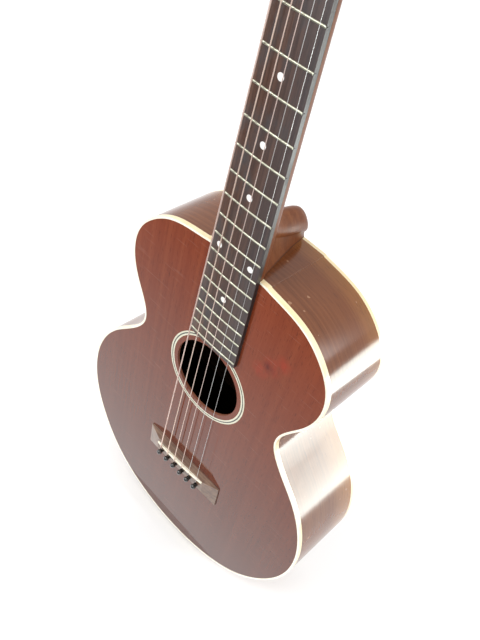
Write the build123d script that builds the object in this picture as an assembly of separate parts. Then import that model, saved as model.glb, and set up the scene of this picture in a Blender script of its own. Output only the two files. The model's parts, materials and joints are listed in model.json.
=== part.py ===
from build123d import *
import os
from math import asin, cos, degrees, pi, radians, sin

# A small-bodied twelve-fret flat-top guitar, as separate pieces.
#
# The guitar is modelled lying on its back: X runs across it with the treble side positive,
# Y runs along the neck towards the head, and Z comes out of the soundboard. Y = 0 and Z = 0 is
# the middle of the strap button on the tail. save() stands each piece up, so that in the
# written files +Z runs up the neck and the soundboard faces -Y. Sizes are in millimetres.

# ---- driving dimensions: strings and neck
SCALE_LENGTH = 628.65            # nut to saddle, before compensation
FRET_COUNT = 19
BOARD_WIDTH_NUT = 42.1
BOARD_WIDTH_12 = 56.2
BOARD_LENGTH = 424.0
BOARD_THICK = 5.5                # at its centre line
BOARD_RADIUS = 400.0             # camber across the board
FRET_CROWN = 1.05
FRET_WIDTH = 1.9
TANG_HALF = 0.28
TANG_DEPTH = 1.9
NUT_THICK = 5.0
NECK_THICK_NUT = 15.0            # wood under the board
NECK_THICK_HEEL = 17.0
STRING_RADII = (0.71, 0.57, 0.44, 0.33, 0.216, 0.165)     # low E to high E
STRING_STEP_NUT = 7.1
STRING_STEP_SADDLE = 12.3
STRING_STEP_PINS = 12.1
WIRE_BEND = 1.2
COIL_HEIGHT = 5.2                # top turn above the face of the headstock
COIL_SWELL = 1.12                # the turns are this much thicker than the string

# ---- driving dimensions: body
TAIL_Y = 8.0                     # tail edge of the body above the strap button's middle
BODY_LENGTH = 479.7
TOP_Z = 49.0                     # outer face of the soundboard
BODY_DEPTH = 99.0                # at the deepest place of the arched back
BACK_RADIUS = 4300.0
DEEPEST_Y = 60.0
TOP_THICK = 2.8
BACK_THICK = 2.6
SIDE_THICK = 2.2                 # also the width of the binding strips
BINDING_DEPTH_TOP = 5.0
BINDING_DEPTH_BACK = 3.5
LINING_WIDTH = 6.0
LINING_DEPTH = 14.0
NECK_BLOCK_HALF = 36.0
NECK_BLOCK_LENGTH = 42.0
TAIL_BLOCK_HALF = 32.0
TAIL_BLOCK_LENGTH = 18.0
GLUE_LINE = 0.05                 # between a block and the sides
HOLE_FROM_NUT = 475.5
HOLE_RADIUS = 43.6
ROSETTE_RADII = (49.0, 50.8, 52.1, 53.8)
ROSETTE_DEPTH = 1.0
TENON_DEPTH = 62.0
# Half outline of the body: distance from the centre line, distance from the tail edge.
HALF_BODY = [
    (0, 0), (60, 9.5), (110, 36), (147, 79.5), (168, 126), (173.9, 180), (166.5, 217),
    (143, 260.5), (108, 299.5), (99, 319.5), (105.5, 344), (119.5, 369), (128.1, 403),
    (122, 432), (102, 456.5), (70, 473.0), (38, 478.6), (0, 479.7),
]
BRACE_WIDTH = 8.0
TOP_BRACES = ((427.0, 14.0), (380.0, 15.0), (244.0, 14.0), (100.0, 13.0))
BACK_BRACES = (430.0, 335.0, 225.0, 110.0)

# ---- driving dimensions: bridge
BRIDGE_FROM_NUT = 643.9
BRIDGE_LENGTH = 117.0
BRIDGE_FRONT = 17.3              # base edge in front of the bridge's origin
BRIDGE_REAR = 16.7
BRIDGE_EDGE = 1.6                # height of the thin edge all round
BRIDGE_HEIGHT = 8.0
BRIDGE_TOP_LENGTH = 78.0
BRIDGE_TURN = 2.2                # degrees, bass end towards the tail
SADDLE_TURN = 3.0                # degrees more than the bridge
SADDLE_FORWARD = 11.4
SADDLE_LENGTH = 76.0
SADDLE_THICK = 3.2
SADDLE_TOP = 11.4                # above the soundboard, at the centre
SADDLE_FLOOR = 4.0
PIN_FORWARD = 0.6
PIN_RADIUS = 2.6
PIN_HOLE = 2.65
PIN_BALL = 3.2
PIN_BALL_HEIGHT = 4.5            # ball centre above the bridge
PIN_DEPTH = 13.7                 # below the bridge's top

# ---- driving dimensions: headstock and tuners
HEAD_TILT = 14.0                 # degrees backwards
HEAD_LENGTH = 158.0
HEAD_THICK = 15.0
VENEER_THICK = 1.5
TUNER_FIRST = 40.0
TUNER_STEP = 39.0
POST_X = 21.0
POST_RADIUS = 3.0
POST_TOP = 13.0
BUSHING_RADIUS = 4.3
GEAR_TEETH = 14
GEAR_PITCH_RADIUS = 5.5
GEAR_TIP_RADIUS = 6.0
GEAR_ROOT_RADIUS = 4.6
GEAR_THICK = 2.4
WORM_PITCH_RADIUS = 2.4
WORM_CORE_RADIUS = 1.7
WORM_TIP_RADIUS = 3.0
WORM_TURNS = 4
SHAFT_RADIUS = 1.6
RUNNING_GAP = 0.05
PLATE_THICK = 1.2
PLATE_HALF_WIDTH = 8.0
EAR_OFFSET = 6.4
BUTTON_START = 36.0

# ---- worked-out places
JOINT_Y = TAIL_Y + BODY_LENGTH
NUT_Y = JOINT_Y + SCALE_LENGTH / 2 - 0.7
BOARD_TOP = TOP_Z + BOARD_THICK
HOLE_Y = NUT_Y - HOLE_FROM_NUT
LINING_INSET = SIDE_THICK + LINING_WIDTH
INSIDE_TOP = TOP_Z - TOP_THICK
BACK_BOTTOM = TOP_Z - BODY_DEPTH
BELOW_BACK = BACK_BOTTOM - 5
PLATE_Z = -(VENEER_THICK + HEAD_THICK)
GEAR_Z = PLATE_Z - PLATE_THICK - WORM_TIP_RADIUS - 0.4
WORM_DROP = GEAR_PITCH_RADIUS + WORM_PITCH_RADIUS
WORM_LEAD = 2 * pi * GEAR_PITCH_RADIUS / GEAR_TEETH

BRIDGE = Plane(
    origin=(0, NUT_Y - BRIDGE_FROM_NUT, TOP_Z),
    x_dir=(cos(radians(BRIDGE_TURN)), sin(radians(BRIDGE_TURN)), 0),
    z_dir=(0, 0, 1),
)
SADDLE = BRIDGE.location * Pos(0, SADDLE_FORWARD, 0) * Rot(0, 0, SADDLE_TURN)
HEAD = Plane(
    origin=(0, NUT_Y + NUT_THICK, TOP_Z - VENEER_THICK),
    x_dir=(1, 0, 0),
    z_dir=(0, sin(radians(HEAD_TILT)), cos(radians(HEAD_TILT))),
).location * Pos(0, 0, VENEER_THICK)

# Tuners by string: side of the head, place counted from the nut.
TUNERS = {
    "low_e": (-1, 0),
    "a": (-1, 1),
    "d": (-1, 2),
    "g": (1, 2),
    "b": (1, 1),
    "high_e": (1, 0),
}


# ---------------------------------------------------------------- helpers
def save(name, *shapes):
    """Stand a piece, or a group of separate pieces, up and write it as one node."""
    solids = [solid for shape in shapes for solid in (Rot(90, 0, 0) * shape).solids()]
    export_step(Compound(children=solids), f"parts/{name}.step")


def from_floor(*size):
    """A box centred in X and Y, standing on Z = 0."""
    return Box(*size, align=(Align.CENTER, Align.CENTER, Align.MIN))


def span_box(x0, x1, y0, y1, z0, z1):
    """A box between two corners."""
    return Pos((x0 + x1) / 2, (y0 + y1) / 2, z0) * from_floor(x1 - x0, y1 - y0, z1 - z0)


def rod(start, end, radius):
    """A round bar from one point to another."""
    start, end = Vector(start), Vector(end)
    place = Plane(origin=start, z_dir=end - start).location
    align = (Align.CENTER, Align.CENTER, Align.MIN)
    return place * Cylinder(radius, (end - start).length, align=align)


def turned(*profile):
    """A solid turned about Z from (radius, height) corners."""
    face = make_face(Polyline(*[(r, 0, h) for r, h in profile], close=True))
    return revolve(face, Axis.Z)


def flipped(line):
    """The same line on the other side of the centre line."""
    return mirror(line, about=Plane.YZ).edge()


def fret_from_nut(number):
    """Distance from the nut to a fret in equal temperament."""
    return SCALE_LENGTH * (1 - 2 ** (-number / 12))


def board_half(from_nut):
    """Half width of the fingerboard at a distance from the nut."""
    grow = (BOARD_WIDTH_12 - BOARD_WIDTH_NUT) / (SCALE_LENGTH / 2)
    return (BOARD_WIDTH_NUT + grow * from_nut) / 2


# ---------------------------------------------------------------- body outline
def half_outline(inset=0.0):
    """Treble half of the body outline, moved inwards by inset along its normals."""
    ends = [(1, 0, 0), (-1, 0, 0)]
    base = Spline(*[(x, TAIL_Y + y, 0) for x, y in HALF_BODY], tangents=ends)
    if inset == 0:
        return base
    steps = 48
    points = []
    for i in range(steps + 1):
        along = base.tangent_at(i / steps)
        inward = Vector(-along.Y, along.X, 0)
        points.append(base.position_at(i / steps) + inward * inset)
    return Spline(*points, tangents=ends)


def outline_face(inset):
    half = half_outline(inset)
    return make_face([half, flipped(half)])


def slab(inset, bottom, top):
    """The body outline as a plate between two heights."""
    return extrude(Pos(0, 0, bottom) * outline_face(inset), amount=top - bottom, dir=(0, 0, 1))


def half_rim(outer, inner, bottom, top):
    """Treble half of a band that follows the body outline."""
    near, far = half_outline(outer), half_outline(inner)
    face = make_face([near, far, Line(near @ 0, far @ 0), Line(near @ 1, far @ 1)])
    return extrude(Pos(0, 0, bottom) * face, amount=top - bottom, dir=(0, 0, 1))


def on_bass_side(shape):
    return mirror(shape, about=Plane.YZ)


def above_back(inset):
    """Ball whose skin is the arched back, moved inwards by inset."""
    centre = BACK_BOTTOM + BACK_RADIUS
    return Pos(0, DEEPEST_Y, centre) * Rot(0, 90, 0) * Sphere(BACK_RADIUS - inset)


def inside_half(y, inset=LINING_INSET):
    """Half width of the body at a place along it."""
    line = half_outline(inset)
    points = [line.position_at(i / 200) for i in range(201)]
    for low, high in zip(points, points[1:]):
        if low.Y <= y <= high.Y:
            return low.X + (high.X - low.X) * (y - low.Y) / (high.Y - low.Y)
    raise ValueError("outside the body")


# ---------------------------------------------------------------- the box of the body
def pin_places():
    """Bridge pin centres in the bridge's own plane."""
    return [((i - 2.5) * STRING_STEP_PINS, PIN_FORWARD) for i in range(6)]


def pin_holes():
    return Part() + [BRIDGE.location * Pos(x, y, 0) * Cylinder(PIN_HOLE, 60) for x, y in pin_places()]


def tenon():
    """Dovetail on the heel that locks into the neck block."""
    length, near, far = 16.0, 8.0, 11.5
    plan = Polyline((-near, 0), (near, 0), (far, -length), (-far, -length), close=True)
    return Pos(0, JOINT_Y, TOP_Z - TENON_DEPTH) * extrude(make_face(plan), amount=TENON_DEPTH)


def mortise():
    """The tenon with an open front and top, to cut its seat."""
    front = span_box(-8, 8, JOINT_Y - 0.5, JOINT_Y + 4, TOP_Z - TENON_DEPTH, TOP_Z + 1)
    return tenon() + Pos(0, 0, 1) * tenon() + front


def soundboard():
    top = slab(SIDE_THICK, INSIDE_TOP, TOP_Z) - mortise() - pin_holes()
    top -= Pos(0, HOLE_Y, TOP_Z) * Cylinder(HOLE_RADIUS, 20)
    return top - rosette_ring(ROSETTE_RADII[0], ROSETTE_RADII[3])


def rosette_ring(inner, outer):
    ring = Circle(outer) - Circle(inner)
    return Pos(0, HOLE_Y, TOP_Z - ROSETTE_DEPTH) * extrude(ring, amount=ROSETTE_DEPTH)


def side():
    """Bent side of the treble half, ending on the centre line at neck and tail."""
    band = half_rim(0, SIDE_THICK, BELOW_BACK, TOP_Z - BINDING_DEPTH_TOP)
    return (band & above_back(BINDING_DEPTH_BACK)) - mortise() - strap_button()


def top_binding():
    return half_rim(0, SIDE_THICK, TOP_Z - BINDING_DEPTH_TOP, TOP_Z) - mortise()


def back_binding():
    band = half_rim(0, SIDE_THICK, BELOW_BACK, 0) & above_back(0)
    return band - above_back(BINDING_DEPTH_BACK)


def back_plate():
    return (slab(SIDE_THICK, BELOW_BACK, 0) & above_back(0)) - above_back(BACK_THICK)


def block(half_width, low, high):
    """A glued block that fills the body's inner depth at one end."""
    fill = span_box(-half_width, half_width, low, high, BACK_BOTTOM, INSIDE_TOP)
    fill &= slab(SIDE_THICK + GLUE_LINE, BACK_BOTTOM, INSIDE_TOP)
    return fill & above_back(BACK_THICK)


def neck_block():
    low = JOINT_Y - SIDE_THICK - NECK_BLOCK_LENGTH
    return block(NECK_BLOCK_HALF, low, JOINT_Y) - mortise()


def tail_block():
    high = TAIL_Y + SIDE_THICK + TAIL_BLOCK_LENGTH
    return block(TAIL_BLOCK_HALF, TAIL_Y, high) - strap_button()


def linings(strip):
    """A pair of strips inside the rim, stopped at the neck and tail blocks."""
    strip -= span_box(-1, NECK_BLOCK_HALF, JOINT_Y - 60, JOINT_Y, -60, 60)
    strip -= span_box(-1, TAIL_BLOCK_HALF, 0, 40, -60, 60)
    return Part() + [strip, on_bass_side(strip)]


def top_linings():
    """Strips that widen the glue joint between the sides and the soundboard."""
    return linings(half_rim(SIDE_THICK, LINING_INSET, INSIDE_TOP - LINING_DEPTH, INSIDE_TOP))


def back_linings():
    """Strips that widen the glue joint between the sides and the back."""
    strip = half_rim(SIDE_THICK, LINING_INSET, BELOW_BACK, 0) & above_back(BACK_THICK)
    return linings(strip - above_back(BACK_THICK + LINING_DEPTH))


def brace(y, height, base, direction):
    """A bar across the body with its ends carved down; direction is the side it stands on."""
    half = min(inside_half(y - BRACE_WIDTH / 2), inside_half(y + BRACE_WIDTH / 2)) - 1.0
    low = 4.0
    taper = 26.0
    right = [(half, 0), (half, low), (half - taper, height)]
    left = [(-x, h) for x, h in reversed(right)]
    profile = make_face(Polyline(*[(x, 0, base + direction * h) for x, h in right + left], close=True))
    return Pos(0, y + BRACE_WIDTH / 2, 0) * extrude(profile, amount=BRACE_WIDTH, dir=(0, -1, 0))


def top_braces():
    return Part() + [brace(TAIL_Y + y, h, INSIDE_TOP, -1) for y, h in TOP_BRACES]


def back_braces():
    bars = [brace(TAIL_Y + y, 22.0, BACK_BOTTOM - 1, 1) for y in BACK_BRACES]
    return (Part() + bars) & above_back(BACK_THICK)


def bridge_plate():
    plate = BRIDGE.location * Pos(0, -1, -TOP_THICK - 3) * from_floor(130, 36, 3)
    return plate - pin_holes()


def back_strip():
    """Thin cross-grained strip over the back's centre seam, parted by the braces."""
    low = TAIL_Y + SIDE_THICK + TAIL_BLOCK_LENGTH + 0.5
    high = JOINT_Y - SIDE_THICK - NECK_BLOCK_LENGTH - 0.5
    strip = span_box(-9, 9, low, high, -60, 0)
    strip = (strip & above_back(BACK_THICK)) - above_back(BACK_THICK + 1.6)
    for y in BACK_BRACES:
        strip -= span_box(-10, 10, TAIL_Y + y - 4.2, TAIL_Y + y + 4.2, -60, 0)
    return strip


def strap_button():
    """Turned end pin in the tail block, head away from the body."""
    profile = [
        (0, -30), (3.4, -30), (4.2, -TAIL_Y), (5.6, -TAIL_Y), (5.6, -TAIL_Y + 1.2),
        (4.0, -TAIL_Y + 1.9), (4.0, -2.2), (6.5, -1.5), (6.5, 1.5), (4.6, 2.5), (0, 2.9),
    ]
    return Rot(90, 0, 0) * turned(*profile)


# ---------------------------------------------------------------- bridge
def bridge():
    depth = BRIDGE_FRONT + BRIDGE_REAR
    middle = (BRIDGE_FRONT - BRIDGE_REAR) / 2
    base = Pos(0, middle, BRIDGE_EDGE) * Rectangle(BRIDGE_LENGTH, depth)
    front, rear = BRIDGE_FRONT - 1.4, -4.5
    top = Pos(0, (front + rear) / 2, BRIDGE_HEIGHT) * Rectangle(BRIDGE_TOP_LENGTH, front - rear)
    body = Pos(0, middle, 0) * from_floor(BRIDGE_LENGTH, depth, BRIDGE_EDGE) + loft([base, top])
    return BRIDGE.location * body - saddle_blank() - pin_holes()


def saddle_blank():
    """The saddle before its top is rounded; also the slot that it stands in."""
    half = SADDLE_LENGTH / 2
    shoulder = SADDLE_TOP - half * half / (2 * BOARD_RADIUS)
    crown = ThreePointArc((half, 0, shoulder), (0, 0, SADDLE_TOP), (-half, 0, shoulder))
    corners = [(-half, shoulder), (-half, SADDLE_FLOOR), (half, SADDLE_FLOOR), (half, shoulder)]
    face = make_face([crown, Polyline(*[(x, 0, h) for x, h in corners])])
    return SADDLE * Pos(0, SADDLE_THICK / 2, 0) * extrude(face, amount=SADDLE_THICK, dir=(0, -1, 0))


def saddle():
    blank = saddle_blank()
    crest = blank.edges().filter_by(GeomType.CIRCLE)
    return fillet(crest, 1.2)


def bridge_pin():
    """Ball-headed pin with a string groove down its front."""
    bottom = BRIDGE_HEIGHT - PIN_DEPTH
    neck_top = BRIDGE_HEIGHT + PIN_BALL_HEIGHT - 2
    tapered = [(0, bottom), (1.9, bottom), (PIN_RADIUS, BRIDGE_HEIGHT - 2), (PIN_RADIUS, neck_top)]
    pin = turned(*tapered, (0, neck_top))
    pin += Pos(0, 0, BRIDGE_HEIGHT + PIN_BALL_HEIGHT) * Sphere(PIN_BALL)
    return pin - span_box(-0.95, 0.95, 0.8, 3, bottom, BRIDGE_HEIGHT + 2.0)


def bridge_pins():
    return [BRIDGE.location * Pos(x, y, 0) * bridge_pin() for x, y in pin_places()]


# ---------------------------------------------------------------- neck
def neck_section(place, half_width, thick, fullness):
    """Flat-topped cross-section of the neck; a larger fullness squares its shoulders."""
    power = 2 / fullness
    right = [(half_width, 0)]
    for i in range(1, 5):
        angle = pi * i / 10
        right.append((half_width * cos(angle) ** power, thick * sin(angle) ** power))
    left = [(-x, y) for x, y in reversed(right)]
    back = Spline(*right, (0, thick), *left, tangents=[(0, 1), (0, -1)])
    flat = Line((-half_width, 0), (half_width, 0))
    return place * make_face([back, flat])


def cross_plane(y):
    """Plane across the neck: its own Y points down into the wood."""
    return Plane(origin=(0, y, TOP_Z), x_dir=(1, 0, 0), z_dir=(0, 1, 0)).location


def shaft():
    near = neck_section(cross_plane(JOINT_Y), board_half(SCALE_LENGTH / 2), NECK_THICK_HEEL, 2.15)
    far = neck_section(cross_plane(NUT_Y + NUT_THICK), BOARD_WIDTH_NUT / 2, NECK_THICK_NUT, 2.15)
    return loft([near, far], ruled=True)


def heel_section(depth, joint_half, ledge, nose_half, length):
    """Heel outline at one depth: hollow cheeks, a small ledge and a rounded nose."""
    lip = 0.9
    cheek_end = (nose_half - lip, ledge - 0.5)
    cheek_mid = ((joint_half + nose_half - lip) / 2 - 0.7, ledge * 0.45)
    shoulder = (nose_half * 0.92, ledge + 0.55 * (length - ledge))
    right = Spline((joint_half, 0), cheek_mid, cheek_end)
    step = Line(cheek_end, (nose_half, ledge))
    nose = Spline(
        (nose_half, ledge), shoulder, (0, length), (-shoulder[0], shoulder[1]), (-nose_half, ledge)
    )
    edges = [right, step, nose, flipped(step), flipped(right)]
    edges.append(Line((-joint_half, 0), (joint_half, 0)))
    return Pos(0, JOINT_Y, TOP_Z - depth) * make_face(edges)


def heel():
    # depth below the soundboard, half width at the body, ledge, half width of nose, length
    rows = [
        (7, 26.0, 24, 23.0, 62), (13, 24.0, 29, 18.5, 58), (18, 22.7, 29, 15.6, 52.5),
        (24, 21.2, 26, 13.7, 46.5), (32, 19.0, 22, 12.5, 41.5), (43, 16.2, 17.5, 12.0, 38),
        (55, 13.5, 14, 12.0, 35.5), (66, 11.6, 11.5, 11.8, 32.5), (73, 10.6, 9.5, 11.2, 28.5),
        (77.2, 10.0, 7.5, 9.8, 21),
    ]
    return loft([heel_section(*row) for row in rows])


def head_outline(start):
    """Headstock plan from a distance past the nut to a shallow rounded crest."""
    half = board_half(0)
    flare = 30.5
    wide = 34.0
    crest = HEAD_LENGTH
    side_line = [
        Spline((half, start), (half + 3.0, start + 9), (flare, 26), tangents=[(0, 1), (0.35, 1)]),
        Line((flare, 26), (wide, crest - 14)),
        ThreePointArc((wide, crest - 14), (wide - 2.2, crest - 7.4), (wide - 8, crest - 4.6)),
    ]
    crown = ThreePointArc((wide - 8, crest - 4.6), (0, crest), (8 - wide, crest - 4.6))
    mirrored = [flipped(edge) for edge in side_line]
    return make_face([*side_line, crown, *mirrored, Line((-half, start), (half, start))])


def head_plate():
    blank = extrude(head_outline(6.0), amount=-HEAD_THICK)
    return HEAD * Pos(0, 0, -VENEER_THICK) * blank


def throat():
    """Blend between the rounded shaft and the square headstock."""
    start = neck_section(cross_plane(NUT_Y - 6), board_half(6), NECK_THICK_NUT, 2.15)
    end_place = HEAD * Pos(0, 14, -VENEER_THICK) * Rot(-90, 0, 0)
    end = neck_section(end_place, 24.0, HEAD_THICK, 7.0)
    return loft([start, end], ruled=True)


def post_places():
    """Tuner post centres in the headstock's plane, by string."""
    return {
        name: (side_sign * POST_X, TUNER_FIRST + TUNER_STEP * row)
        for name, (side_sign, row) in TUNERS.items()
    }


def neck_bar():
    """Steel bar let into the neck under the board."""
    return span_box(-4.5, 4.5, JOINT_Y - 10, NUT_Y - 8, TOP_Z - 9, TOP_Z)


def neck():
    wood = shaft() + heel() + throat() + head_plate() + tenon() - neck_bar()
    for x, y in post_places().values():
        wood -= HEAD * Pos(x, y, -10) * Cylinder(POST_RADIUS + 0.6, 40)
        wood -= HEAD * Pos(x, y, -VENEER_THICK) * Cylinder(BUSHING_RADIUS, 11)
    return wood - tuner_screw_group()


def head_veneer():
    face = extrude(head_outline(0.0), amount=-VENEER_THICK)
    for x, y in post_places().values():
        face -= Pos(x, y, 0) * Cylinder(BUSHING_RADIUS, 10)
    return HEAD * face


def camber():
    """Long cylinder whose skin is the cambered top of the board."""
    place = Pos(0, NUT_Y - BOARD_LENGTH / 2, BOARD_TOP - BOARD_RADIUS)
    return place * Rot(90, 0, 0) * Cylinder(BOARD_RADIUS, BOARD_LENGTH + 80)


def across_board(number, edges, reach):
    """A profile at one fret, drawn at Y = 0 and Z = 0, swept along the board's camber."""
    axis = Axis((0, 0, BOARD_TOP - BOARD_RADIUS), (0, 1, 0))
    angle = degrees(asin(reach / BOARD_RADIUS))
    place = Pos(0, NUT_Y - fret_from_nut(number), BOARD_TOP)
    return revolve((place * make_face(edges)).rotate(axis, -angle), axis, revolution_arc=2 * angle)


def fret(number):
    """Rounded crown with its tang, stopped a little short of the board's edges."""
    half = FRET_WIDTH / 2
    right = [(0, half, 0), (0, TANG_HALF, 0), (0, TANG_HALF, -TANG_DEPTH)]
    left = [(0, -y, z) for _, y, z in reversed(right)]
    crown = ThreePointArc(left[-1], (0, 0, FRET_CROWN), right[0])
    return across_board(number, [Polyline(*right, *left), crown], board_half(fret_from_nut(number)) - 0.4)


def fret_slot(number):
    low, high = -TANG_DEPTH, 0.5
    corners = [(0, TANG_HALF, high), (0, TANG_HALF, low), (0, -TANG_HALF, low), (0, -TANG_HALF, high)]
    return across_board(number, [Polyline(*corners, close=True)], board_half(fret_from_nut(number)) + 1)


def fingerboard():
    end = NUT_Y - BOARD_LENGTH
    tip = board_half(BOARD_LENGTH)
    start = board_half(0)
    plan = Polyline((-start, NUT_Y), (start, NUT_Y), (tip, end), (-tip, end), close=True)
    board = Pos(0, 0, TOP_Z) * extrude(make_face(plan), amount=BOARD_THICK + 1) & camber()
    for number in range(1, FRET_COUNT + 1):
        board -= fret_slot(number)
    return board - dot_blanks()


def frets():
    return [fret(number) for number in range(1, FRET_COUNT + 1)]


def dot_blanks():
    """Position dots at the 5th, 7th, 9th, 12th (a pair) and 15th frets."""
    spots = [(5, 0), (7, 0), (9, 0), (12, -18.5), (12, 18.5), (15, 0)]
    dots = []
    for number, x in spots:
        from_nut = (fret_from_nut(number) + fret_from_nut(number - 1)) / 2
        dots.append(Pos(x, NUT_Y - from_nut, BOARD_TOP - 1.8) * Cylinder(3.0, 4))
    return Part() + dots


def position_dots():
    return dot_blanks() & camber()


def nut():
    blank = span_box(-21.05, 21.05, NUT_Y, NUT_Y + NUT_THICK, TOP_Z, TOP_Z + 8.4)
    blank = chamfer(blank.edges().filter_by(Axis.X).group_by(Axis.Z)[-1].sort_by(Axis.Y)[-1], 2.4, 1.2)
    for index, radius in enumerate(STRING_RADII):
        x, y, z = nut_point(index)
        wide = radius + 0.12
        slot = span_box(x - wide, x + wide, y - 3, y + 9, z - radius - 0.12, z + 6)
        blank -= slot
    return blank


# ---------------------------------------------------------------- strings
def nut_point(index):
    """Centre of a string where it leaves the nut towards the bridge."""
    radius = STRING_RADII[index]
    x = (index - 2.5) * STRING_STEP_NUT
    drop = x * x / (2 * BOARD_RADIUS)
    return (x, NUT_Y + 1.0, BOARD_TOP + FRET_CROWN + 0.45 - drop + radius)


def saddle_point(index):
    """Centre of a string on the crest of the saddle."""
    x = (index - 2.5) * STRING_STEP_SADDLE
    height = SADDLE_TOP - x * x / (2 * BOARD_RADIUS) + STRING_RADII[index] + 0.14
    return (SADDLE * Pos(x, 0, height)).position


def coil_point(name, radius):
    """Place where a string meets the inner side of its post."""
    x, y = post_places()[name]
    reach = POST_RADIUS + RUNNING_GAP + radius
    inner = x - reach if x > 0 else x + reach
    return (HEAD * Pos(inner, y, COIL_HEIGHT)).position


def bent_wire(points, radius):
    """Round wire along straight runs with small bends between them."""
    path = FilletPolyline(*points, radius=WIRE_BEND)
    return sweep(Plane(origin=path @ 0, z_dir=path % 0) * Circle(radius), path=path)


def winding(radius):
    """Turns of a string laid close on its post, grown into one ring about Z."""
    reach = POST_RADIUS + RUNNING_GAP + radius
    pitch = 1.8 * radius
    profile = Pos(reach - radius / 2, -pitch) * Rectangle(radius, 2 * pitch)
    for turn in range(3):
        profile += Pos(reach, -pitch * turn) * Circle(radius)
    return revolve(Rot(90, 0, 0) * profile, Axis.Z)


def string(index):
    """One string: through the bridge, over saddle and nut, and wound round its post."""
    name = list(TUNERS)[index]
    radius = STRING_RADII[index]
    pin_x, pin_y = pin_places()[index]
    groove = pin_y + 1.75
    under = (BRIDGE.location * Pos(pin_x, groove, -TOP_THICK - 3.02)).position
    mouth = (BRIDGE.location * Pos(pin_x, groove, BRIDGE_HEIGHT + 0.55)).position
    front = Vector(nut_point(index))
    rear = front + Vector(0, NUT_THICK - 0.8, 0)
    at_post = coil_point(name, radius)
    wire = bent_wire([under, mouth, saddle_point(index), front, rear, at_post], radius)
    x, y = post_places()[name]
    return wire + HEAD * Pos(x, y, COIL_HEIGHT) * winding(COIL_SWELL * radius)


def ball_ends():
    """Brass anchors that hold the strings under the bridge plate."""
    balls = []
    for x, y in pin_places():
        place = BRIDGE.location * Pos(x, y + 1.75, -TOP_THICK - 3 - 2.05)
        balls.append(place * Rot(0, 90, 0) * Cylinder(2.0, 3.6))
    return balls


# ---------------------------------------------------------------- tuners
def screw_places():
    """Plate screws, between and beyond the tuners."""
    rows = [TUNER_FIRST - 15 + TUNER_STEP * i for i in range(4)]
    rows = [row if row < 100 else row - 1 for row in rows]
    return [(side_sign * POST_X, row) for side_sign in (-1, 1) for row in rows]


def tuner_screw():
    head = turned((0, 0), (1.1, 0), (2.2, 0), (2.0, -0.8), (1.0, -1.2), (0, -1.2))
    return head + Cylinder(1.1, 9, align=(Align.CENTER, Align.CENTER, Align.MIN))


def tuner_screws():
    screw = tuner_screw() - span_box(-3, 3, -0.25, 0.25, -2, -0.7)
    return [HEAD * Pos(x, y, PLATE_Z - PLATE_THICK) * screw for x, y in screw_places()]


def tuner_screw_group():
    return Part() + [HEAD * Pos(x, y, PLATE_Z - PLATE_THICK) * tuner_screw() for x, y in screw_places()]


def tuner_bushings():
    """Pressed sleeves that guide the posts at the face of the headstock."""
    bore = POST_RADIUS + RUNNING_GAP
    foot = -VENEER_THICK - 5.5
    tube = [(bore, foot), (BUSHING_RADIUS, foot), (BUSHING_RADIUS, 0)]
    sleeve = turned(*tube, (5.6, 0), (5.2, 1.2), (bore, 1.5))
    return [HEAD * Pos(x, y, 0) * sleeve for x, y in post_places().values()]


def tuner_plate(side_sign):
    """Strip behind the headstock with two ears for each worm."""
    x = side_sign * POST_X
    low, high = TUNER_FIRST - 19, TUNER_FIRST + 2 * TUNER_STEP + 17
    strip = span_box(x - PLATE_HALF_WIDTH, x + PLATE_HALF_WIDTH, low, high, PLATE_Z - PLATE_THICK, PLATE_Z)
    strip = fillet(strip.edges().filter_by(Axis.Z), 3)
    for row in range(3):
        y = TUNER_FIRST + TUNER_STEP * row
        strip -= Pos(x, y, PLATE_Z) * Cylinder(POST_RADIUS + RUNNING_GAP, 10)
        worm_y = y - WORM_DROP
        for end in (-1, 1):
            ear_x = x + end * EAR_OFFSET
            ear = span_box(ear_x - 0.6, ear_x + 0.6, worm_y - 3.6, worm_y + 3.6, GEAR_Z, PLATE_Z)
            bore = Pos(ear_x, worm_y, GEAR_Z) * Rot(0, 90, 0)
            ear += bore * Cylinder(3.6, 1.2)
            strip += ear - bore * Cylinder(SHAFT_RADIUS + RUNNING_GAP, 4)
    for screw_x, screw_y in screw_places():
        strip -= Pos(screw_x, screw_y, PLATE_Z) * Cylinder(1.1, 10)
    return HEAD * strip


def string_post():
    """Post with a waist for the string, a hole across it and a stepped end for the gear."""
    gear_top = GEAR_Z + GEAR_THICK / 2
    gear_end = GEAR_Z - GEAR_THICK / 2
    profile = [
        (0, gear_end), (2.0, gear_end), (2.0, gear_top), (POST_RADIUS, gear_top),
        (POST_RADIUS, POST_TOP - 0.8), (POST_RADIUS - 0.8, POST_TOP), (0, POST_TOP),
    ]
    post = turned(*profile)
    post -= Pos(0, 0, 8.6) * Rot(90, 0, 0) * Cylinder(0.9, 10)
    return post - Pos(0, 0, gear_end) * Cylinder(0.9, 8)


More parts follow.
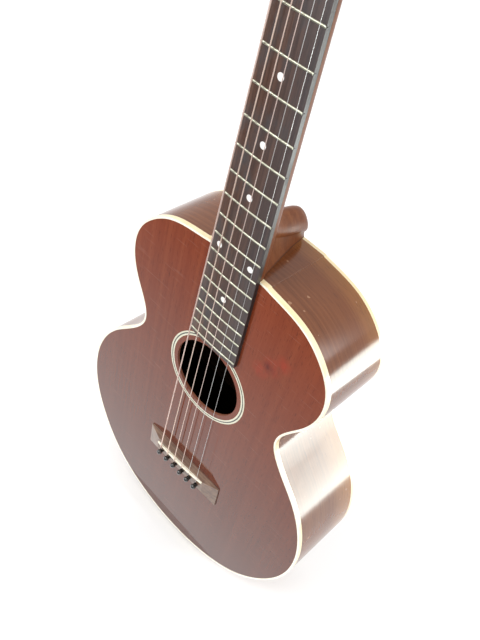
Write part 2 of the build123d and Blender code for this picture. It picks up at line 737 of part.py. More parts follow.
def post_gear():
    """Gear on the post's end, with the screw that holds it as a second solid."""
    step = 2 * pi / GEAR_TEETH
    points = []
    for tooth in range(GEAR_TEETH):
        middle = -pi / 2 + (tooth + 0.5) * step
        for radius, half in ((GEAR_ROOT_RADIUS, 0.75), (GEAR_TIP_RADIUS, 0.25)):
            points.append((radius, middle - half / radius))
        for radius, half in ((GEAR_TIP_RADIUS, 0.25), (GEAR_ROOT_RADIUS, 0.75)):
            points.append((radius, middle + half / radius))
    outline = Polyline(*[(r * cos(a), r * sin(a)) for r, a in points], close=True)
    wheel = Pos(0, 0, GEAR_Z - GEAR_THICK / 2) * extrude(make_face(outline), amount=GEAR_THICK)
    wheel -= Pos(0, 0, GEAR_Z) * Cylinder(2.0, 10)
    end = GEAR_Z - GEAR_THICK / 2
    screw = turned((0, end + 4), (0.9, end + 4), (0.9, end), (2.6, end), (2.3, end - 0.9), (0, end - 1.2))
    screw -= span_box(-3, 3, -0.25, 0.25, end - 2, end - 0.6)
    return [wheel, screw]


def worm(side_sign):
    """Worm and shaft along X, turned outwards on the side it stands on."""
    length = WORM_LEAD * WORM_TURNS
    core = Rot(0, 90, 0) * Cylinder(WORM_CORE_RADIUS, length + 1.2)
    helix = Helix(WORM_LEAD, length, WORM_CORE_RADIUS - 0.1)
    profile = Plane(origin=helix @ 0, x_dir=(1, 0, 0), z_dir=helix % 0).location * make_face(
        Polyline((0, -0.75), (0, 0.75), (1.4, 0.22), (1.4, -0.22), close=True)
    )
    thread = sweep(profile, path=helix, is_frenet=True)
    place = Plane(origin=(-length / 2, 0, 0), x_dir=(0, 1, 0), z_dir=(1, 0, 0)).location
    inner, outer = -EAR_OFFSET - 1.6, BUTTON_START - POST_X + 8
    ends = sorted((side_sign * inner, side_sign * outer))
    shaft_bar = rod((ends[0], 0, 0), (ends[1], 0, 0), SHAFT_RADIUS)
    return core + place * thread + shaft_bar


def button(side_sign):
    """Flat oval thumb button with a collar round the shaft."""
    x = side_sign * (BUTTON_START - POST_X)
    disc = Pos(x + side_sign * 10, 0, -3.2) * extrude(Ellipse(8.0, 8.6), amount=6.4)
    disc = fillet(disc.edges(), 2.4)
    collar = rod((x, 0, 0), (x + side_sign * 5, 0, 0), 3.4)
    hole = rod((x - side_sign, 0, 0), (x + side_sign * 8, 0, 0), SHAFT_RADIUS)
    return disc + collar - hole


def save_tuners():
    shapes = {sign: (worm(sign), button(sign)) for sign in (-1, 1)}
    for name, (x, y) in post_places().items():
        sign = TUNERS[name][0]
        at_worm = HEAD * Pos(x, y - WORM_DROP, GEAR_Z)
        save(f"worm_{name}", at_worm * shapes[sign][0])
        save(f"button_{name}", at_worm * shapes[sign][1])
        save(f"string_post_{name}", HEAD * Pos(x, y, 0) * string_post())
        wheel, screw = post_gear()
        save(f"post_gear_{name}", HEAD * Pos(x, y, 0) * wheel, HEAD * Pos(x, y, 0) * screw)


# ---------------------------------------------------------------- write every node
def main():
    os.makedirs("parts", exist_ok=True)
    low, mid_low, mid_high, high = ROSETTE_RADII
    pieces = {
        "soundboard": soundboard(),
        "back_plate": back_plate(),
        "side_bass": on_bass_side(side()),
        "side_treble": side(),
        "neck_block": neck_block(),
        "tail_block": tail_block(),
        "top_linings": top_linings(),
        "back_linings": back_linings(),
        "top_braces": top_braces(),
        "back_braces": back_braces(),
        "bridge_plate": bridge_plate(),
        "back_centre_strip": back_strip(),
        "top_binding_bass": on_bass_side(top_binding()),
        "top_binding_treble": top_binding(),
        "back_binding_bass": on_bass_side(back_binding()),
        "back_binding_treble": back_binding(),
        "rosette_cream_rings": rosette_ring(low, mid_low) + rosette_ring(mid_high, high),
        "rosette_black_ring": rosette_ring(mid_low, mid_high),
        "bridge": bridge(),
        "saddle": saddle(),
        "bridge_pins": Part() + bridge_pins(),
        "strap_button": strap_button(),
        "neck": neck(),
        "fingerboard": fingerboard(),
        "frets": Part() + frets(),
        "position_dots": position_dots(),
        "nut": nut(),
        "headstock_veneer": head_veneer(),
        "neck_bar": neck_bar(),
        "tuner_plate_bass": tuner_plate(-1),
        "tuner_plate_treble": tuner_plate(1),
        "tuner_screws": Part() + tuner_screws(),
        "tuner_bushings": Part() + tuner_bushings(),
        "wound_strings": Part() + [string(i) for i in range(4)],
        "plain_strings": Part() + [string(i) for i in (4, 5)],
        "string_ball_ends": Part() + ball_ends(),
    }
    for name, shape in pieces.items():
        save(name, shape)
    save_tuners()


main()
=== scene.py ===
import json
import bpy
from mathutils import Matrix, Vector


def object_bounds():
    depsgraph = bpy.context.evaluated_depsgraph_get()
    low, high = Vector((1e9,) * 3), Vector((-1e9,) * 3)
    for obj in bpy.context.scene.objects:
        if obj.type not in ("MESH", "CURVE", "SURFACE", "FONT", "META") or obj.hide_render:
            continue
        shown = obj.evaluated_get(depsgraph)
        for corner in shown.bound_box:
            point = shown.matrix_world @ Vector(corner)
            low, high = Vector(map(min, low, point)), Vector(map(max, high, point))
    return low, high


# Looks for a small twelve-fret all-mahogany guitar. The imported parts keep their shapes; this
# script gives each of them a procedural material and sets up floor, light and camera.
# Object coordinates are in metres: +Z runs up the neck, -Y is out of the soundboard.

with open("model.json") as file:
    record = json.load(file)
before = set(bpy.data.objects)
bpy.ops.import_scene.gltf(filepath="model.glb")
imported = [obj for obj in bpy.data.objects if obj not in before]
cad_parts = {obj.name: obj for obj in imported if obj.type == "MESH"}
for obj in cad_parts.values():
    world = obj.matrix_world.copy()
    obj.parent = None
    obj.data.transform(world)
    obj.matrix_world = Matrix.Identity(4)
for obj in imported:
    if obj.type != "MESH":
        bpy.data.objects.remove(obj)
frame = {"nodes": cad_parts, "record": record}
cad_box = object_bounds()

JOINT_Z = 0.4877             # where the neck meets the body
TOP_Y = -0.049               # face of the soundboard
WAIST_Z = 0.24               # middle of the box: the sides' inner faces look towards it
STAIN_PLACE = (0.066, 0.412)     # X and Z of the smear beside the end of the fingerboard
STAIN_RUN = (0.6, 0.8)           # its direction in X and Z
RED_STAIN = (0.27, 0.03, 0.01)
DARK_STAIN = (0.06, 0.008, 0.005)
STRING_STEP_LOW = 0.01371    # spacing of the strings carried on down to Z = 0
STRING_TAPER = -0.00825      # change of that spacing for each metre up the neck
FLOOR_HALF = 14.0
CARD_HALF = 1.5              # reflector card: half width, near and far edge, height over the floor
CARD_NEAR_Y = -0.062
CARD_FAR_Y = -1.6
CARD_LIFT = 0.002
WHITE = (1.0, 1.0, 1.0)


# ---------------------------------------------------------------- node helpers
class Look:
    """One material, built up node by node around its Principled shader."""

    def __init__(self, name, metallic=0.0, roughness=0.4, coat=0.0, coat_roughness=0.08, specular=0.5):
        self.material = bpy.data.materials.new(name)
        self.material.use_nodes = True
        self.tree = self.material.node_tree
        self.shader = self.tree.nodes["Principled BSDF"]
        self.place = self.tree.nodes.new("ShaderNodeTexCoord").outputs["Object"]
        self.geometry = self.tree.nodes.new("ShaderNodeNewGeometry")
        for socket, value in (
            ("Metallic", metallic),
            ("Roughness", roughness),
            ("Coat Weight", coat),
            ("Coat Roughness", coat_roughness),
            ("Specular IOR Level", specular),
        ):
            self.shader.inputs[socket].default_value = value
        self.height = None

    def put(self, socket, value):
        """Feed a node's socket from another node, or set its number or colour."""
        if isinstance(value, bpy.types.NodeSocket):
            self.tree.links.new(value, socket)
        elif isinstance(value, tuple) and len(value) == 3 and socket.type == "RGBA":
            socket.default_value = (*value, 1)
        else:
            socket.default_value = value

    def math(self, kind, a, b=0.0):
        node = self.tree.nodes.new("ShaderNodeMath")
        node.operation = kind
        self.put(node.inputs[0], a)
        self.put(node.inputs[1], b)
        return node.outputs[0]

    def mapped(self, scale, shift=(0, 0, 0), turn=(0, 0, 0)):
        node = self.tree.nodes.new("ShaderNodeMapping")
        self.put(node.inputs["Vector"], self.place)
        node.inputs["Location"].default_value = shift
        node.inputs["Rotation"].default_value = turn
        node.inputs["Scale"].default_value = scale
        return node.outputs[0]

    def noise(self, scale, detail=4.0, roughness=0.55, distortion=0.0, shift=(0, 0, 0), turn=(0, 0, 0)):
        """Noise with its own number of grains per metre along X, Y and Z."""
        node = self.tree.nodes.new("ShaderNodeTexNoise")
        self.put(node.inputs["Vector"], self.mapped(scale, shift, turn))
        node.inputs["Scale"].default_value = 1.0
        node.inputs["Detail"].default_value = detail
        node.inputs["Roughness"].default_value = roughness
        node.inputs["Distortion"].default_value = distortion
        return node.outputs["Fac"]

    def spread(self, value, low, high, to_low=0.0, to_high=1.0):
        """Stretch a value from one range to another and clamp it."""
        node = self.tree.nodes.new("ShaderNodeMapRange")
        self.put(node.inputs["Value"], value)
        for key, number in (("From Min", low), ("From Max", high), ("To Min", to_low), ("To Max", to_high)):
            node.inputs[key].default_value = number
        return node.outputs["Result"]

    def ramp(self, value, *stops):
        """Colours by position: (position, (r, g, b)) pairs."""
        node = self.tree.nodes.new("ShaderNodeValToRGB")
        self.put(node.inputs["Fac"], value)
        points = node.color_ramp.elements
        while len(points) < len(stops):
            points.new(0.5)
        for point, (position, colour) in zip(points, stops):
            point.position = position
            point.color = (*colour, 1)
        return node.outputs["Color"]

    def mix(self, amount, a, b, blend="MIX"):
        node = self.tree.nodes.new("ShaderNodeMix")
        node.data_type = "RGBA"
        node.blend_type = blend
        self.put(node.inputs["Factor"], amount)
        self.put(node.inputs[6], a)
        self.put(node.inputs[7], b)
        return node.outputs[2]

    def axis(self, vector, name):
        node = self.tree.nodes.new("ShaderNodeSeparateXYZ")
        self.put(node.inputs[0], vector)
        return node.outputs[name]

    def spot(self, middle, size, soft=1.0):
        """1 at a place, falling to 0 at the given half sizes in metres."""
        node = self.tree.nodes.new("ShaderNodeTexGradient")
        node.gradient_type = "SPHERICAL"
        scale = tuple(1 / s for s in size)
        shift = tuple(-m / s for m, s in zip(middle, size))
        self.put(node.inputs["Vector"], self.mapped(scale, shift))
        return self.spread(node.outputs["Fac"], 0.0, soft)

    def raise_by(self, height, amount):
        """Add a height field; amount is its full swing in metres."""
        part = self.math("MULTIPLY", height, amount)
        self.height = part if self.height is None else self.math("ADD", self.height, part)

    def finish(self, colour, roughness=None):
        self.put(self.shader.inputs["Base Color"], colour)
        if roughness is not None:
            self.put(self.shader.inputs["Roughness"], roughness)
        if self.height is not None:
            bump = self.tree.nodes.new("ShaderNodeBump")
            bump.inputs["Distance"].default_value = 1.0
            bump.inputs["Strength"].default_value = 1.0
            self.put(bump.inputs["Height"], self.height)
            self.tree.links.new(bump.outputs[0], self.shader.inputs["Normal"])
        return self.material


# ---------------------------------------------------------------- wood
def grain_scale(along, across, length):
    """Grains per metre with the grain running along one axis."""
    return tuple(length if axis == along else across for axis in "XYZ")


def grained(look, along, dark, middle, light, width=260.0, run=5.0, pores=0.55, ribbon=0.1):
    """Streaked wood colour with ribbons of light and short dark pores."""
    streak = look.noise(grain_scale(along, width, run), 6, 0.6, 0.4)
    wide = look.noise(grain_scale(along, width / 7, run / 2), 3, 0.5, 0.6, shift=(3, 1, 7))
    colour = look.ramp(streak, (0.30, dark), (0.5, middle), (0.72, light))
    shade = look.ramp(wide, (0.3, (1 - 2 * ribbon,) * 3), (0.7, (1.0,) * 3))
    colour = look.mix(1.0, colour, shade, "MULTIPLY")
    pore = look.noise(grain_scale(along, 1500, 110), 2, 0.5)
    pore = look.spread(pore, 0.60, 0.72)
    colour = look.mix(look.math("MULTIPLY", pore, pores), colour, tuple(c * 0.35 for c in dark))
    look.raise_by(pore, -0.00002)
    look.raise_by(streak, 0.000012)
    return colour


def bare_in_painted_shade(look, along="X"):
    """Unfinished brown wood inside the box, painted near black as shade inside the closed box."""
    streak = look.noise(grain_scale(along, 420, 9), 5, 0.6, 0.3)
    tones = ((0.016, 0.007, 0.004), (0.026, 0.012, 0.006), (0.04, 0.02, 0.01))
    return look.ramp(streak, *zip((0.3, 0.6, 0.8), tones))


def stained(look, colour):
    """An old red smear with a dark heart, as a row of spots along its run."""
    smear = look.spread(look.noise((160, 160, 90), 3, 0.6), 0.3, 0.6)
    spots = (
        (-0.017, 0.012, RED_STAIN),
        (0.0, 0.013, RED_STAIN),
        (0.017, 0.012, RED_STAIN),
        (-0.004, 0.009, DARK_STAIN),
    )
    for step, radius, tone in spots:
        across, along = (start + share * step for start, share in zip(STAIN_PLACE, STAIN_RUN))
        spot = look.spot((across, TOP_Y, along), (radius, 0.02, radius), 0.8)
        stain = look.math("MULTIPLY", spot, smear)
        colour = look.mix(look.math("MULTIPLY", stain, 0.75), colour, tone)
    return colour


def mahogany_top():
    look = Look("mahogany_top", roughness=0.34, coat=1.0, coat_roughness=0.03, specular=0.0)
    tones = ((0.185, 0.032, 0.012), (0.215, 0.041, 0.016), (0.245, 0.052, 0.021))
    face = grained(look, "Z", *tones, width=140, run=2.5, pores=0.6, ribbon=0.06)
    # painted shade: the top's colour is darker and duller towards the lower bout's end, where less light
    # falls
    height = look.axis(look.place, "Z")
    shade_towards_tail = look.ramp(height, (0.0, (0.36, 0.42, 0.5)), (0.2, (0.58, 0.68, 0.75)), (0.46, (0.96, 1.0, 0.9)))
    face = look.mix(1.0, face, shade_towards_tail, "MULTIPLY")
    face = stained(look, face)
    # rubs and fine scratches, mostly across the lower bout
    scratch = look.noise((26, 26, 900), 2, 0.4, 0.2, turn=(0, 0.5, 0))
    scratch = look.spread(scratch, 0.685, 0.72)
    rub = look.spread(look.noise((16, 16, 16), 5, 0.6), 0.35, 0.75)
    face = look.mix(look.math("MULTIPLY", scratch, 0.16), face, (0.42, 0.26, 0.2))
    look.raise_by(scratch, -0.000015)
    # the cut edge of the hole is orange end grain, and the inner face is unfinished wood in painted shade,
    # near black
    facing = look.axis(look.geometry.outputs["Normal"], "Y")
    edge = look.spread(facing, -0.8, -0.3)
    inside = look.spread(facing, 0.4, 0.7)
    colour = look.mix(edge, face, (0.26, 0.10, 0.06))
    colour = look.mix(inside, colour, bare_in_painted_shade(look, "Z"))
    look.put(look.shader.inputs["Coat Weight"], look.spread(facing, 0.3, -0.3))
    look.put(look.shader.inputs["Coat Roughness"], look.spread(rub, 0.0, 1.0, 0.015, 0.06))
    return look.finish(colour, look.spread(rub, 0.0, 1.0, 0.28, 0.42))


def mahogany_side():
    look = Look("mahogany_side", roughness=0.3, coat=1.0, coat_roughness=0.16, specular=0.0)
    streak = look.noise((4, 330, 4), 6, 0.6, 0.35)
    wide = look.noise((7, 30, 7), 4, 0.55, 0.4, shift=(5, 2, 1))
    tones = ((0.13, 0.04, 0.013), (0.165, 0.053, 0.018), (0.205, 0.07, 0.024))
    colour = look.ramp(streak, *zip((0.3, 0.52, 0.75), tones))
    colour = look.mix(1.0, colour, look.ramp(wide, (0.3, (0.84,) * 3), (0.7, (1.0,) * 3)), "MULTIPLY")
    # more amber towards the back
    back = look.spread(look.axis(look.place, "Y"), 0.005, 0.045)
    colour = look.mix(look.math("MULTIPLY", back, 0.65), colour, (0.44, 0.2, 0.05))
    pore = look.spread(look.noise((90, 1300, 90), 2, 0.5), 0.6, 0.72)
    colour = look.mix(look.math("MULTIPLY", pore, 0.5), colour, (0.05, 0.016, 0.008))
    # small pale dings
    ding = look.spread(look.noise((150, 150, 150), 1, 0.4, shift=(2, 9, 4)), 0.77, 0.79)
    colour = look.mix(look.math("MULTIPLY", ding, 0.5), colour, (0.42, 0.24, 0.14))
    look.raise_by(pore, -0.00002)
    look.raise_by(ding, -0.00008)
    look.raise_by(look.noise((14, 14, 14), 2, 0.5), 0.0004)
    look.raise_by(look.noise((22, 110, 22), 3, 0.55, 0.5, shift=(7, 3, 5)), 0.00016)
    # the hidden inner face is unfinished wood in painted shade, near black: it looks towards the middle of
    # the box
    place = look.tree.nodes.new("ShaderNodeVectorMath")
    place.operation = "SUBTRACT"
    look.put(place.inputs[0], look.place)
    place.inputs[1].default_value = (0, 0, WAIST_Z)
    outward = look.tree.nodes.new("ShaderNodeVectorMath")
    outward.operation = "DOT_PRODUCT"
    look.put(outward.inputs[0], place.outputs[0])
    look.put(outward.inputs[1], look.geometry.outputs["Normal"])
    inside = look.math("LESS_THAN", outward.outputs["Value"], -0.01)
    colour = look.mix(inside, colour, bare_in_painted_shade(look, "X"))
    look.put(look.shader.inputs["Coat Weight"], look.math("SUBTRACT", 1.0, inside))
    return look.finish(colour)


def mahogany_back():
    look = Look("mahogany_back", roughness=0.3, coat=1.0, coat_roughness=0.05, specular=0.0)
    colour = grained(look, "Z", (0.12, 0.034, 0.013), (0.18, 0.056, 0.022), (0.24, 0.085, 0.035), 160, 3)
    # the two halves meet in a fine dark line
    across = look.math("ABSOLUTE", look.axis(look.place, "X"))
    line = look.spread(across, 0.0006, 0.0002)
    colour = look.mix(look.math("MULTIPLY", line, 0.7), colour, (0.03, 0.01, 0.006))
    # the inner face is unfinished wood in painted shade, near black
    facing = look.axis(look.geometry.outputs["Normal"], "Y")
    inside = look.spread(facing, 0.2, -0.2)
    colour = look.mix(inside, colour, bare_in_painted_shade(look, "Z"))
    look.put(look.shader.inputs["Coat Weight"], look.spread(facing, -0.2, 0.2))
    rub = look.noise((18, 18, 18), 5, 0.6)
    return look.finish(colour, look.spread(rub, 0.3, 0.7, 0.24, 0.4))


def mahogany_neck():
    look = Look("mahogany_neck", roughness=0.42, coat=0.18, coat_roughness=0.18, specular=0.15)
    tones = ((0.125, 0.034, 0.009), (0.165, 0.047, 0.013), (0.21, 0.07, 0.021))
    colour = grained(look, "Z", *tones, width=220, run=5, pores=0.45)
    # hands have worn the shaft paler behind the middle frets
    hand = look.spot((0, -0.03, 0.66), (0.06, 0.05, 0.2), 1.0)
    colour = look.mix(look.math("MULTIPLY", hand, 0.2), colour, (0.4, 0.19, 0.07))
    # a little dirt where the heel meets the sides
    seat = look.spread(look.axis(look.place, "Z"), JOINT_Z + 0.0016, JOINT_Z + 0.0002)
    colour = look.mix(look.math("MULTIPLY", seat, 0.75), colour, (0.03, 0.012, 0.006))
    rub = look.noise((45, 45, 20), 4, 0.55)
    return look.finish(colour, look.spread(rub, 0.3, 0.7, 0.28, 0.46))


def rosewood(name, along, tones, roughness, grime):
    look = Look(name, roughness=roughness, coat=0.5, coat_roughness=0.22)
    colour = grained(look, along, *tones, width=380, run=8, pores=0.75)
    patch = look.spread(look.noise((70, 70, 70), 4, 0.6, shift=(1, 5, 3)), 0.45, 0.75)
    colour = look.mix(look.math("MULTIPLY", patch, 0.3), colour, grime)
    return look.finish(colour, look.spread(patch, 0.0, 1.0, roughness - 0.08, roughness + 0.12))


def fingerboard():
    look = Look("fingerboard", roughness=0.4, coat=0.5, coat_roughness=0.2)
    tones = ((0.04, 0.014, 0.008), (0.085, 0.034, 0.019), (0.15, 0.066, 0.038))
    colour = grained(look, "Z", *tones, width=330, run=8, pores=0.7)
    # painted sheen: blue-black towards the treble edge, and wear with painted sheen in patches between the
    # frets
    side = look.spread(look.axis(look.place, "X"), -0.012, 0.026)
    patch = look.spread(look.noise((70, 70, 30), 4, 0.6, shift=(1, 5, 3)), 0.42, 0.62)
    sheen_and_wear = look.math("MULTIPLY", look.math("MAXIMUM", side, patch), 0.62)
    colour = look.mix(sheen_and_wear, colour, (0.042, 0.043, 0.05))
    # the long edges are dark and dull
    facing = look.math("ABSOLUTE", look.axis(look.geometry.outputs["Normal"], "X"))
    edge = look.spread(facing, 0.5, 0.8)
    colour = look.mix(look.math("MULTIPLY", edge, 0.7), colour, (0.01, 0.008, 0.007))
    look.put(look.shader.inputs["Coat Weight"], look.spread(facing, 0.5, 0.8, 0.5, 0.04))
    return look.finish(colour, look.spread(patch, 0.0, 1.0, 0.32, 0.5))


def bridge_wood():
    tones = ((0.09, 0.042, 0.025), (0.17, 0.09, 0.055), (0.29, 0.17, 0.105))
    return rosewood("bridge_wood", "X", tones, 0.45, (0.36, 0.25, 0.17))


def veneer_wood():
    tones = ((0.03, 0.014, 0.01), (0.07, 0.032, 0.02), (0.13, 0.065, 0.04))
    return rosewood("headstock_wood", "Z", tones, 0.3, (0.1, 0.06, 0.045))


def brace_wood(name="brace_wood", light=1.0):
    """Rough dusty wood, its tones painted near black as shade inside the box; light brightens all its
    tones.
    """
    look = Look(name, roughness=0.72, specular=0.15)
    streak = look.noise((10, 260, 260), 5, 0.6, 0.2)
    tones = ((0.03, 0.013, 0.006), (0.05, 0.023, 0.01), (0.075, 0.036, 0.017))
    dark, middle, pale = (tuple(light * c for c in tone) for tone in tones)
    colour = look.ramp(streak, (0.3, dark), (0.6, middle), (0.8, pale))
    dust = look.spread(look.noise((60, 60, 60), 4, 0.6), 0.45, 0.7)
    grey = tuple(light * c for c in (0.07, 0.045, 0.03))
    colour = look.mix(look.math("MULTIPLY", dust, 0.25), colour, grey)
    look.raise_by(streak, 0.00008)
    return look.finish(colour, look.spread(dust, 0.0, 1.0, 0.62, 0.85))


def top_brace_wood():
    # a lighter copy for the top braces: less painted shade than the other braces inside the box
    return brace_wood("top_brace_wood", 2.6)


# ---------------------------------------------------------------- plastics, bone and pearl
def cream_binding():
    look = Look("cream_binding", roughness=0.34, coat=0.6, coat_roughness=0.12)
    # the lacquer has ambered; painted light and shade make the faces towards front and back paler and the
    # outer face darker and more amber
    facing = look.axis(look.geometry.outputs["Normal"], "Y")
    flat = look.spread(look.math("ABSOLUTE", facing), 0.5, 0.9)
    cloud = look.spread(look.noise((35, 90, 35), 5, 0.6), 0.3, 0.7)
    edge = look.mix(cloud, (0.78, 0.62, 0.34), (0.86, 0.74, 0.48))
    face = look.mix(cloud, (0.86, 0.8, 0.62), (0.93, 0.89, 0.76))
    colour = look.mix(flat, edge, face)
    crack = look.spread(look.noise((300, 1200, 300), 2, 0.5), 0.68, 0.72)
    colour = look.mix(look.math("MULTIPLY", crack, 0.3), colour, (0.5, 0.36, 0.17))
    look.raise_by(cloud, 0.00006)
    return look.finish(colour, look.spread(cloud, 0.0, 1.0, 0.26, 0.42))


def cream_line():
    look = Look("cream_line", roughness=0.3, coat=0.8, coat_roughness=0.1)
    cloud = look.spread(look.noise((160, 160, 160), 4, 0.6), 0.3, 0.7)
    look.raise_by(cloud, 0.00003)
    colour = look.mix(cloud, (0.56, 0.53, 0.38), (0.7, 0.68, 0.54))
    return look.finish(colour, look.spread(cloud, 0, 1, 0.24, 0.38))


def black_line():
    look = Look("black_line", roughness=0.3, coat=0.8, coat_roughness=0.1)
    cloud = look.spread(look.noise((220, 220, 220), 4, 0.6), 0.3, 0.7)
    look.raise_by(cloud, 0.00002)
    colour = look.mix(cloud, (0.012, 0.02, 0.013), (0.035, 0.05, 0.035))
    return look.finish(colour, look.spread(cloud, 0, 1, 0.24, 0.4))


def bone():
    look = Look("bone", roughness=0.32, coat=0.3, coat_roughness=0.15)
    streak = look.noise((90, 900, 900), 4, 0.55, 0.2)
    tones = ((0.72, 0.63, 0.44), (0.87, 0.82, 0.68), (0.92, 0.89, 0.79))
    colour = look.ramp(streak, *zip((0.3, 0.5, 0.75), tones))
    low = look.spread(look.noise((200, 200, 200), 3, 0.5), 0.4, 0.7)
    colour = look.mix(look.math("MULTIPLY", low, 0.2), colour, (0.66, 0.52, 0.3))
    look.raise_by(streak, 0.00003)
    return look.finish(colour, look.spread(low, 0, 1, 0.26, 0.42))


def pearl():
    look = Look("pearl", roughness=0.22, coat=0.9, coat_roughness=0.05)
    wave = look.noise((420, 420, 260), 3, 0.5, 1.6)
    tones = ((0.8, 0.83, 0.78), (0.94, 0.93, 0.88), (0.88, 0.86, 0.88), (0.96, 0.96, 0.93))
    colour = look.ramp(wave, *zip((0.3, 0.45, 0.6, 0.75), tones))
    look.raise_by(wave, 0.00001)
    return look.finish(colour, look.spread(wave, 0.3, 0.7, 0.16, 0.3))


def black_pin():
    look = Look("black_pin", roughness=0.16, coat=1.0, coat_roughness=0.04)
    haze = look.spread(look.noise((500, 500, 500), 4, 0.6), 0.4, 0.75)
    look.raise_by(haze, 0.00001)
    colour = look.mix(haze, (0.006, 0.006, 0.007), (0.022, 0.02, 0.019))
    return look.finish(colour, look.spread(haze, 0, 1, 0.1, 0.28))


def button_plastic():
    look = Look("button_plastic", roughness=0.3, coat=0.7, coat_roughness=0.1)
    layer = look.noise((60, 500, 500), 4, 0.5, 0.8)
    tones = ((0.7, 0.58, 0.34), (0.85, 0.76, 0.54), (0.92, 0.87, 0.7))
    colour = look.ramp(layer, *zip((0.3, 0.5, 0.72), tones))
    grime = look.spread(look.noise((170, 170, 170), 5, 0.65), 0.52, 0.75)
    colour = look.mix(look.math("MULTIPLY", grime, 0.35), colour, (0.35, 0.24, 0.12))
    look.raise_by(layer, 0.00003)
    return look.finish(colour, look.spread(grime, 0, 1, 0.24, 0.5))


# ---------------------------------------------------------------- metals
def metal(name, clean, dull, roughness, scale=120, spots=0.45):
    look = Look(name, metallic=1.0, roughness=roughness)
    tarnish = look.spread(look.noise((scale, scale, scale), 5, 0.65), 0.42, 0.75)
    fine = look.noise((2400, 2400, 300), 2, 0.5)
    colour = look.mix(look.math("MULTIPLY", tarnish, spots), clean, dull)
    look.raise_by(fine, 0.000006)
    look.raise_by(tarnish, 0.00001)
    dullness = look.spread(tarnish, 0, 1, roughness - 0.07, roughness + 0.2)
    scuffs = look.spread(fine, 0.3, 0.7, -0.03, 0.03)
    return look.finish(colour, look.math("ADD", dullness, scuffs))


def frets():
    return metal("fret_metal", (0.46, 0.46, 0.37), (0.3, 0.28, 0.2), 0.36, 300, 0.5)


def nickel_plate():
    return metal("nickel_plate", (0.66, 0.63, 0.57), (0.32, 0.25, 0.17), 0.28, 130, 0.6)


def steel():
    return metal("steel", (0.62, 0.62, 0.63), (0.32, 0.29, 0.27), 0.3, 220, 0.35)


def gear_brass():
    return metal("gear_brass", (0.64, 0.47, 0.21), (0.22, 0.14, 0.06), 0.33, 260, 0.6)


def bronze_wound():
    """Wound strings: a fine winding, and a tone of its own for each string."""
    look = Look("bronze_wound", metallic=1.0, roughness=0.45)
    height = look.axis(look.place, "Z")
    step = look.math("MULTIPLY_ADD", height, STRING_TAPER)
    step.node.inputs[2].default_value = STRING_STEP_LOW
    number = look.math("DIVIDE", look.axis(look.place, "X"), step)
    tones = ((1.0, 0.78, 0.70), (1.0, 0.80, 0.68), (1.0, 0.8, 0.7), (1.0, 0.82, 0.75))
    tone = look.ramp(look.spread(number, -3.0, 1.0), *zip((0.1, 0.37, 0.62, 0.88), tones))
    wind = look.tree.nodes.new("ShaderNodeTexWave")
    wind.bands_direction = "Z"
    look.put(wind.inputs["Vector"], look.mapped((1, 1, 1)))
    wind.inputs["Scale"].default_value = 620.0
    turns = wind.outputs["Fac"]
    tone = look.mix(look.spread(turns, 0.25, 0.0, 0.0, 0.3), tone, (0.16, 0.09, 0.06))
    dull = look.spread(look.noise((60, 60, 25), 4, 0.6), 0.45, 0.75)
    tone = look.mix(look.math("MULTIPLY", dull, 0.15), tone, (0.38, 0.26, 0.2))
    look.raise_by(turns, 0.00003)
    return look.finish(tone, look.spread(dull, 0, 1, 0.4, 0.55))


def plain_steel():
    return metal("plain_string", (0.85, 0.85, 0.84), (0.55, 0.52, 0.48), 0.4, 180, 0.3)


# ---------------------------------------------------------------- dress the parts
BY_SLOT = {
    "mahogany_top": mahogany_top,
    "mahogany_body": mahogany_side,
    "mahogany_neck": mahogany_neck,
    "rosewood": bridge_wood,
    "brace_wood": brace_wood,
    "cream_binding": cream_binding,
    "cream_line": cream_line,
    "black_line": black_line,
    "bone": bone,
    "black_pin": black_pin,
    "nickel_silver": frets,
    "pearl_dot": pearl,
    "nickel_plate": nickel_plate,
    "steel": steel,
    "gear_brass": gear_brass,
    "bronze_wound": bronze_wound,
    "button_plastic": button_plastic,
}
BY_NODE = {
    "back_plate": mahogany_back,
    "top_braces": top_brace_wood,
    "fingerboard": fingerboard,
    "headstock_veneer": veneer_wood,
    "plain_strings": plain_steel,
}


def dress():
    made = {}
    for part in frame["record"]["subparts"]:
        name = part["node"]
        maker = BY_NODE.get(name) or BY_SLOT[part["material_slot"]]
        if maker not in made:
            made[maker] = maker()
        for slot in frame["nodes"][name].material_slots:
            slot.material = made[maker]


# ---------------------------------------------------------------- floor, light, camera
def flat_sheet(name, half, near, far, height):
    """A level rectangle, half wide to each side in X and from near to far in Y."""
    mesh = bpy.data.meshes.new(name)
    corners = [(-half, near, height), (half, near, height), (half, far, height), (-half, far, height)]
    mesh.from_pydata(corners, [], [(0, 1, 2, 3)])
    sheet = bpy.data.objects.new(name, mesh)
    bpy.context.scene.collection.objects.link(sheet)
    return sheet


def floor():
    board = flat_sheet("floor", FLOOR_HALF, -FLOOR_HALF, FLOOR_HALF, cad_box[0][2])
    look = Look("floor_paper", roughness=0.75)
    cloud = look.noise((3, 3, 3), 3, 0.5)
    tone = look.ramp(cloud, (0.0, (0.93, 0.93, 0.93)), (1.0, (0.96, 0.96, 0.96)))
    board.data.materials.append(look.finish(tone))


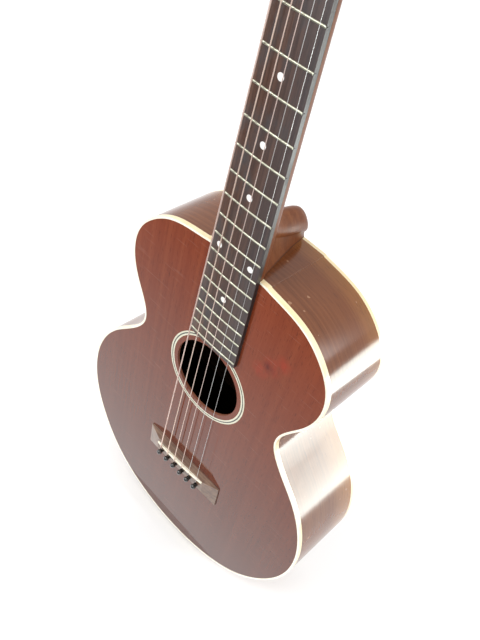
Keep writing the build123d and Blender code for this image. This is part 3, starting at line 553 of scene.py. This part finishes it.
def reflector():
    """Glowing card in front of the guitar, seen only in its gloss: bright near it, dim farther out."""
    card = flat_sheet("reflector", CARD_HALF, CARD_FAR_Y, CARD_NEAR_Y, cad_box[0][2] + CARD_LIFT)
    look = Look("reflector_card", roughness=1.0, specular=0.0)
    near = look.spread(look.axis(look.place, "Y"), -0.46, -0.08)
    greys = ((0.2, 0.2, 0.2), (0.42, 0.42, 0.42), (0.72, 0.72, 0.72), WHITE)
    glow = look.ramp(near, *zip((0.0, 0.3, 0.62, 1.0), greys))
    look.put(look.shader.inputs["Emission Color"], glow)
    look.shader.inputs["Emission Strength"].default_value = 1.5
    card.data.materials.append(look.finish((0.0, 0.0, 0.0)))
    for kind in ("camera", "diffuse", "shadow", "transmission", "volume_scatter"):
        setattr(card, "visible_" + kind, False)


def area_light(name, place, target, size, power, tint=WHITE, gloss_only=False):
    light = bpy.data.lights.new(name, "AREA")
    light.shape = "RECTANGLE"
    light.size, light.size_y = size
    light.energy = power
    light.color = tint
    lamp = bpy.data.objects.new(name, light)
    lamp.location = place
    lamp.rotation_euler = (Vector(target) - Vector(place)).to_track_quat("-Z", "Y").to_euler()
    lamp.visible_diffuse = not gloss_only
    lamp.visible_camera = False
    bpy.context.scene.collection.objects.link(lamp)


def studio():
    world = bpy.data.worlds.new("studio")
    world.use_nodes = True
    world.node_tree.nodes["Background"].inputs[0].default_value = (1, 1, 1, 1)
    world.node_tree.nodes["Background"].inputs[1].default_value = 0.95
    bpy.context.scene.world = world
    bpy.context.scene.view_settings.view_transform = "Standard"
    area_light("key", (-1.1, -1.6, 2.4), (0, 0, 0.3), (1.4, 1.4), 45)
    area_light("rim", (1.8, 0.9, 1.6), (0.1, 0, 0.3), (1.2, 1.2), 22)
    # a low soft box beyond the treble side that only shows as a reflection
    pale_green = (0.92, 1.0, 0.95)
    place = (0.79, 0.47, 0.13)
    area_light("side_gloss", place, (0.14, 0, 0.25), (0.55, 0.62), 14, pale_green, gloss_only=True)


def camera():
    right = Vector((0.68976, 0.69714, 0.19552))
    up = Vector((-0.61460, 0.42099, 0.66711))
    ahead = right.cross(up)
    lens = bpy.data.cameras.new("camera")
    lens.lens = 37.75
    lens.sensor_width = 36.0
    lens.clip_start = 0.01
    view = bpy.data.objects.new("camera", lens)
    turn = Matrix((right, up, ahead)).transposed().to_4x4()
    view.matrix_world = Matrix.Translation((0.24856, -0.39633, 0.86286)) @ turn
    bpy.context.scene.collection.objects.link(view)
    bpy.context.scene.camera = view


dress()
floor()
reflector()
studio()
camera()
